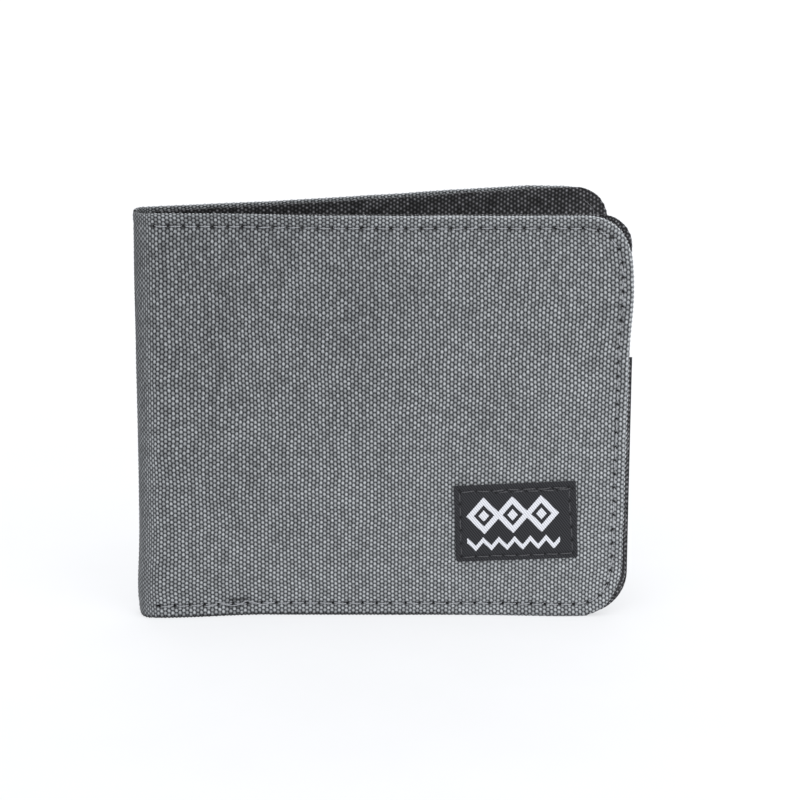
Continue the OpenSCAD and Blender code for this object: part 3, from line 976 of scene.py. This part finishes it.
def make_shell_thread(half, name, node):
    """The seam round the free edges of a half, with a back-tack on the front."""
    thread = Thread()
    holes = shell_holes(half)
    first, last = np.flatnonzero(holes[:, 0] > half_w - SEAM_IN - 2)[[0, -1]]
    seed = 31 if half is FRONT else 32
    thread.row(holes[:first + 1], 0.08, seed, buried=0.1)
    thread.row(holes[first:last + 1], 0.27, seed + 2, buried=0.08)
    thread.row(holes[last:], 0.12, seed + 4, buried=0.14)
    if half is FRONT:
        for k, (start, end) in enumerate(zip(BACK_TACK[:-1], BACK_TACK[1:])):
            thread.stitch(start, end, -0.02, bend=0.25 if k % 2 else -0.2, proud=0.2)
    thread.points = np.array(thread.points)
    thread.points[:, 2] += rise(half, thread.points[:, 0], thread.points[:, 2])
    thread.points[:, 0] -= skew_in(thread.points[:, 0], thread.points[:, 2])
    piece = thread.build(name, half)
    return ride_shell(dress(piece, GREY_THREAD, "grey_thread", node), half)


def make_lining(half, name, *nodes):
    """Thin lining over the board and the hems, carried round the fold with the shell."""
    outline = Outline(FRONT_MID, half_w - LINING_IN, LINING_IN, height - LINING_IN,
                      CORNER_R - LINING_IN)
    panel = Panel(outline, 0.0, cut_edge(LINING_T), 1.0, 1.4)
    panel.ripple(0.03, 5, 16)
    piece = panel.build(name, half, LINING_Y, facing_in=True)
    return ride_shell(dress(piece, LINING, "lining", *nodes), half)


def make_board(half, name, node):
    """The stiffening board inside the hems."""
    edge = HEM_W + 0.4
    outline = Outline(0.5, half_w - edge, edge, height - edge, 0.5, closed=True)
    piece = Panel(outline, 0.0, cut_edge(BOARD_T, back=4.0), 3.0, 3.0).build(name, half, BOARD_Y)
    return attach(dress(piece, BOARD, "board", node), half.body)


# --- Black canvas inside ---

def make_divider(half, name, *nodes):
    """The bill divider: black canvas with turned edges, facing into the wallet."""
    if half is FRONT:
        seed, top, side, corner = 41, height, half_w + FRONT_DIVIDER_OUT, FRONT_DIVIDER_R
    else:
        top, side = height - REAR_DIVIDER_DROP, half_w + REAR_DIVIDER_OUT
        seed, corner = 42, REAR_DIVIDER_R
    outline = Outline(divider_start, side, 0.0, top, LOW_DIVIDER_R, top_r=corner)
    panel = Panel(outline, DIVIDER_ROLL, rolled_edge(DIVIDER_ROLL, 5.0), 0.4, 0.3)
    panel.u, panel.v = weave_place(panel.u, panel.v, 7)
    panel.move_out(RELIEF * 0.9 * weave_relief(panel.u, panel.v))
    panel.x = panel.x + 0.06 * waver(panel.u, panel.v, seed, 22)
    panel.z = np.maximum(panel.z, 0.0)
    panel.ripple(0.03, seed + 3, 26)
    piece = panel.build(name, half, DIVIDER_Y, facing_in=True)
    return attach(dress(piece, BLACK_CANVAS, "black_canvas", *nodes), half.body)


def make_pocket(half, name, node, mouth, y, hole=None):
    """A pocket panel of black canvas, open at its mouth."""
    outline = Outline(pocket_start, pocket_end, 0.0, mouth, LOW_DIVIDER_R, top_r=0.3)
    panel = Panel(outline, 0.12, rolled_edge(0.12, 3.0, steps=4), 1.245, 1.1, hole=hole)
    panel.ripple(0.02, int(mouth), 20)
    piece = panel.build(name, half, y, facing_in=True)
    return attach(dress(piece, BLACK_CANVAS, "black_canvas", node), half.body)


def make_binding(half, name, node, mouth, y):
    """Grosgrain tape folded over a pocket's mouth."""
    wrap = 0.17
    section = [(0.02, -TAPE_W), (TAPE_T * 0.9, -TAPE_W + 0.25), (TAPE_T, -TAPE_W * 0.5),
               (TAPE_T, -0.5)]
    section += [(TAPE_T - wrap + wrap * math.cos(math.pi * k / 4),
                 -0.2 + wrap * math.sin(math.pi * k / 4)) for k in range(5)]
    section += [(TAPE_T - 2 * wrap, -0.6), (TAPE_T - 2 * wrap, -2.6)]
    xs = np.arange(pocket_start, pocket_end + 0.01, 0.7)
    xs[-1] = pocket_end
    steps = [math.dist(a, b) for a, b in zip(section[:-1], section[1:])]
    run = np.concatenate([[0], np.cumsum(steps)])
    points = [(x, y + out, mouth + up + 0.03 * math.sin(x * 0.9))
              for x in xs for out, up in section]
    cloth = [(x, length) for x in xs for length in run]
    faces = []
    for b in range(len(section), len(points), len(section)):
        a = b - len(section)
        for k in range(len(section) - 1):
            face = (a + k, b + k, b + k + 1, a + k + 1)
            faces.append(face if half.mirrored else (a + k + 1, b + k + 1, b + k, a + k))
    piece = add_mesh(name, half.place(points), faces, cloth)
    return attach(dress(piece, TAPE, "binding_tape", node), half.body)


film_low, film_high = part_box("window_sheet")
film_x = (from_fold(film_low.x), from_fold(film_high.x))
film_z = (film_low.z / MM, film_high.z / MM)


def make_window_film():
    """The clear film behind the window, with its rounded corners."""
    outline = Outline(*film_x, *film_z, 1.5, closed=True)
    panel = Panel(outline, 0.0, cut_edge(FILM_T, back=2.0), 2.0, 2.0)
    panel.ripple(0.02, 8, 30)
    piece = panel.build("window_film", FRONT, FILM_Y, facing_in=True)
    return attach(dress(piece, CLEAR, "clear_sheet", "window_sheet"), FRONT.body)


def inner_face(half, z):
    """Depth of the innermost face at the wallet's side seam, by height."""
    if half is FRONT:
        return FRAME_Y if z < window_mouth else DIVIDER_Y
    return DIVIDER_Y + TIER * sum(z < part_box(node)[1].z / MM for node in CARD_POCKETS)


def make_inner_thread(half, name, pocket_rows):
    """The seams seen inside: side and bottom, and the rows along the pocket mouths."""
    thread = Thread(radius=0.09)
    outline = Outline(divider_start, half_w, 0.0, height, LOW_DIVIDER_R, top_r=FRONT_DIVIDER_R)
    route = seam_route(outline, SEAM_IN, pocket_start + 1)
    route = route[: np.argmax((route[:, 1] > height - SEAM_IN - 0.3))]
    holes = needle_holes(route, STITCH, seed=51)
    for start, end in zip(holes[:-1], holes[1:]):
        y = inner_face(half, (start[1] + end[1]) / 2)
        thread.stitch(start, end, y, sink=0.2, proud=-0.1)
    for z, x0, x1, y in pocket_rows:
        row = np.array([(x, z) for x in np.arange(x0, x1, 0.1)])
        holes = needle_holes(row, MOUTH_STITCH, seed=int(z * 10))
        thread.row(holes, y, seed=int(z), sink=0.15, proud=-0.09)
    piece = thread.build(name, half)
    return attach(dress(piece, INNER_THREAD, "black_thread"), half.body)


# --- The label ---

LABEL_W, LABEL_H, LABEL_T = 28.0, 18.4, 0.32
LABEL_TILT = math.radians(2.4)
LABEL_SEAM_IN = 1.2
DIAMOND_W, DIAMOND_H = 4.1, 4.5       # from a diamond's middle to its corners
DIAMONDS_X, DIAMONDS_Z = (-7.3, -0.7, 5.9), 1.75
label_low, label_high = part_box("label")
LABEL_X = from_fold((label_low.x + label_high.x) / 2)
LABEL_Z = (label_low.z + label_high.z) / 2 / MM


def label_to_half(x, z):
    """From the label's own middle to the front half's flat frame."""
    c, s = math.cos(LABEL_TILT), math.sin(LABEL_TILT)
    return LABEL_X + c * x - s * z, LABEL_Z + s * x + c * z


def soft_band(distance, half_width, soft=0.12):
    """1 within a band, falling to 0 over a thread's width at its edge."""
    return np.clip((half_width - np.abs(distance)) / soft + 0.5, 0, 1)


def woven_pattern(x, z):
    """Three linked diamonds over a zigzag line: the label's white threads, from 0 to 1."""
    zigzag = np.abs((x + 11.2) % 3.6 - 1.8) * 1.15 - 1.0
    mark = soft_band((z + 5.1 - zigzag) * 0.66, 0.42) * ((x > -11.3) & (x < 9.95))
    slope = math.hypot(1 / DIAMOND_W, 1 / DIAMOND_H)
    for middle in DIAMONDS_X:
        reach = np.abs(x - middle) / DIAMOND_W + np.abs(z - DIAMONDS_Z) / DIAMOND_H
        mark = np.maximum(mark, soft_band((reach - 0.78) / slope, 0.62))
        mark = np.maximum(mark, soft_band(reach / slope, 0.3 / slope))
    return mark


def label_seam():
    """Needle holes round the label, in its own frame; the top row is sewn over twice."""
    chance = random.Random(7)
    w, h = LABEL_W / 2 - LABEL_SEAM_IN, LABEL_H / 2 - LABEL_SEAM_IN
    sides = [((-w, -h), (w, -h - 0.1)), ((w, -h), (w - 0.4, h - 0.6)),
             ((w - 0.6, h - 0.2), (-w + 0.4, h - 0.4)), ((-w, h), (-w + 0.1, -h))]
    rows = []
    for start, end in sides:
        share = np.linspace(0, 1, round(math.dist(start, end) / LABEL_STITCH) + 1)[:, None]
        row = np.array(start) * (1 - share) + np.array(end) * share
        row += [[chance.uniform(-0.09, 0.09), chance.uniform(-0.09, 0.09)] for _ in row]
        rows.append(row)
    return [*rows, rows[2][: len(rows[2]) * 3 // 4] + [0.9, -0.45]]


def make_label():
    """The woven label, raised a little in the middle and pulled in by its stitches."""
    outline = Outline(-LABEL_W / 2, LABEL_W / 2, -LABEL_H / 2, LABEL_H / 2, 0.5, closed=True)
    panel = Panel(outline, 0.15, rolled_edge(0.15, 1.0, steps=4), 0.13, 0.13)
    x, z, face = panel.x, panel.z, panel.on_face
    holes = np.concatenate(label_seam())
    inside = outline.nearest(x, z)[0]
    pattern = woven_pattern(x, z) * face
    # Painted shade in the label's needle holes.
    hole = np.clip(1.5 * near_holes(x, z, holes, 0.24), 0, 1) * face
    dip = 0.22 * near_holes(x, z, holes, 0.4) + 0.1 * bell(inside, 1.25, 0.5)
    fine = 0.012 * np.sin((x + z) * 2 * math.pi / 0.42)
    crown = 0.06 * smooth_step(0, 2.5, inside)
    lift = crown + 0.035 * pattern + fine - dip + 0.05 * waver(x, z, 77, 9)
    panel.move_out(lift * face)
    panel.x, panel.z = label_to_half(panel.x, panel.z)
    masks = {"hole": hole, "pattern": pattern}
    piece = panel.build("woven_label", FRONT, -LABEL_T, masks=masks)
    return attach(dress(piece, LABEL, "label_weave", "label"), FRONT.body)


def make_label_thread():
    thread = Thread(radius=0.12)
    for k, row in enumerate(label_seam()):
        flat = np.stack(label_to_half(row[:, 0], row[:, 1]), axis=-1)
        y = -LABEL_T + (0.12 if k in (1, 3) else 0.0)
        thread.row(flat, y, seed=60 + k, buried=0.06, sink=0.25, proud=0.09)
    piece = thread.build("label_thread", FRONT)
    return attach(dress(piece, BLACK_THREAD, "black_thread", "label_stitching"), FRONT.body)


# --- Building the wallet ---

def named(prefix, *names):
    return [prefix + name for name in names]


HEMS = ("_top_hem", "_side_hem", "_bottom_hem")
front_shell = make_shell(FRONT, "front_shell", *named("front", "_cover", *HEMS),
                         *named("spine", "_cover", "_top_hem", "_bottom_hem"))
rear_shell = make_shell(REAR, "rear_shell", *named("rear", "_cover", *HEMS))
make_shell_thread(FRONT, "front_seam_thread", "front_stitching")
make_shell_thread(REAR, "rear_seam_thread", "rear_stitching")
front_lining = make_lining(FRONT, "front_lining_cloth", "front_lining", "spine_lining")
rear_lining = make_lining(REAR, "rear_lining_cloth", "rear_lining")
make_board(FRONT, "front_stiffener", "front_board")
make_board(REAR, "rear_stiffener", "rear_board")
WITH_TURNS = ("", "_top_turn", "_side_turn", "_bottom_turn")
dividers = [make_divider(half, side + "_divider_cloth", *named(side + "_divider", *WITH_TURNS))
            for half, side in ((FRONT, "front"), (REAR, "rear"))]

window = (film_x[0] + FILM_LAP, film_x[1] - FILM_LAP, film_z[0] + FILM_LAP, film_z[1] - FILM_LAP)
window_panel = make_pocket(FRONT, "window_pocket", "window_frame", window_mouth, FRAME_Y, window)
make_window_film()
make_binding(FRONT, "window_tape", "window_binding", window_mouth, FRAME_Y)

pockets, rear_rows = [], []
for tier, place in enumerate(("top", "middle", "bottom"), start=1):
    node = "card_pocket_" + place
    mouth, face_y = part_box(node)[1].z / MM, DIVIDER_Y + tier * TIER
    pockets.append(make_pocket(REAR, node + "_cloth", node, mouth, face_y))
    make_binding(REAR, "tape_" + place, "binding_" + place, mouth, face_y)
    rear_rows.append((mouth - MOUTH_SEAM_IN, pocket_start + 1, pocket_end - 1, face_y + TAPE_T))

make_inner_thread(REAR, "rear_inner_thread", rear_rows)
make_inner_thread(FRONT, "front_inner_thread", [
    (window_mouth - MOUTH_SEAM_IN, pocket_start + 1, pocket_end - 1, FRAME_Y + TAPE_T),
    (window[2] - 1.5, window[0] - 1, window[1] + 1, FRAME_Y),
    (window[3] + 1.5, window[0] - 1, window[1] + 1, FRAME_Y),
])
woven_label = make_label()
make_label_thread()


# --- Floor, light and camera ---

def make_floor():
    """A wide pale table top that fades into the background."""
    corners = [(x, y, 0) for x, y in ((-3.0, -3.0), (3.0, -3.0), (3.0, 3.0), (-3.0, 3.0))]
    floor = add_mesh("floor", corners, [(0, 1, 2, 3)])
    material, nodes, shader = new_material(
        "pale table", Roughness=0.9, Specular_IOR_Level=0.1, Emission_Color=(0.97, 0.98, 1.0),
        Emission_Strength=0.68)
    place = Value(nodes, nodes.add("ShaderNodeTexCoord").outputs["Object"])
    grain = nodes.noise(place, 40.0, 3.0, 0.5)
    tone = nodes.mix(grain, (0.225, 0.227, 0.232), (0.245, 0.247, 0.252))
    nodes.feed(shader.inputs["Base Color"], tone)
    floor.data.materials.append(material)


def add_softbox(name, place, aim, size, power, colour=(1, 1, 1)):
    light = bpy.data.lights.new(name, "AREA")
    light.shape = "RECTANGLE"
    light.size, light.size_y = size
    light.energy = power
    light.color = colour
    lamp = bpy.data.objects.new(name, light)
    lamp.location = place
    lamp.rotation_mode = "QUATERNION"
    lamp.rotation_quaternion = (Vector(aim) - Vector(place)).to_track_quat("-Z", "Y")
    bpy.context.scene.collection.objects.link(lamp)


def make_lights():
    world = bpy.data.worlds.new("studio")
    world.use_nodes = True
    background = world.node_tree.nodes["Background"]
    background.inputs["Color"].default_value = (0.96, 0.98, 1.0, 1)
    background.inputs["Strength"].default_value = 0.5
    bpy.context.scene.world = world
    add_softbox("overhead", (0.1, -0.4, 1.5), (0.0, 0.0, 0.0), (2.0, 1.6), 25.0)
    add_softbox("backdrop", (0.0, 1.3, 1.0), (0.0, 1.2, 0.0), (2.0, 1.0), 16.0)
    add_softbox("fill", (0.45, -0.55, 0.2), (0.03, 0.0, 0.04), (0.5, 0.4), 1.7, (1.0, 0.995, 0.98))


def make_camera():
    """A long lens looking a little down on the front half."""
    elevation, swing, roll = math.radians(16.6), math.radians(-0.7), math.radians(0.22)
    distance = 0.718
    target = Vector((fold_left * MM + 0.0597, shell_low.y, 0.0519))
    level = math.cos(elevation)
    back = Vector((math.sin(swing) * level, -math.cos(swing) * level, math.sin(elevation)))
    right = (-back).cross(Vector((0, 0, 1))).normalized()
    up = right.cross(-back)
    across = math.cos(roll) * right + math.sin(roll) * up
    upright = -math.sin(roll) * right + math.cos(roll) * up
    camera = bpy.data.cameras.new("camera")
    camera.sensor_width = 36.0
    camera.lens = 142.3
    camera.clip_start, camera.clip_end = 0.05, 20.0
    holder = bpy.data.objects.new("camera", camera)
    turned = Matrix((across, upright, back)).transposed().to_4x4()
    holder.matrix_world = Matrix.Translation(target + distance * back) @ turned
    bpy.context.scene.collection.objects.link(holder)
    bpy.context.scene.camera = holder


make_floor()
make_lights()
make_camera()
bpy.context.scene.view_settings.view_transform = "Standard"
bpy.context.scene.view_settings.look = "None"
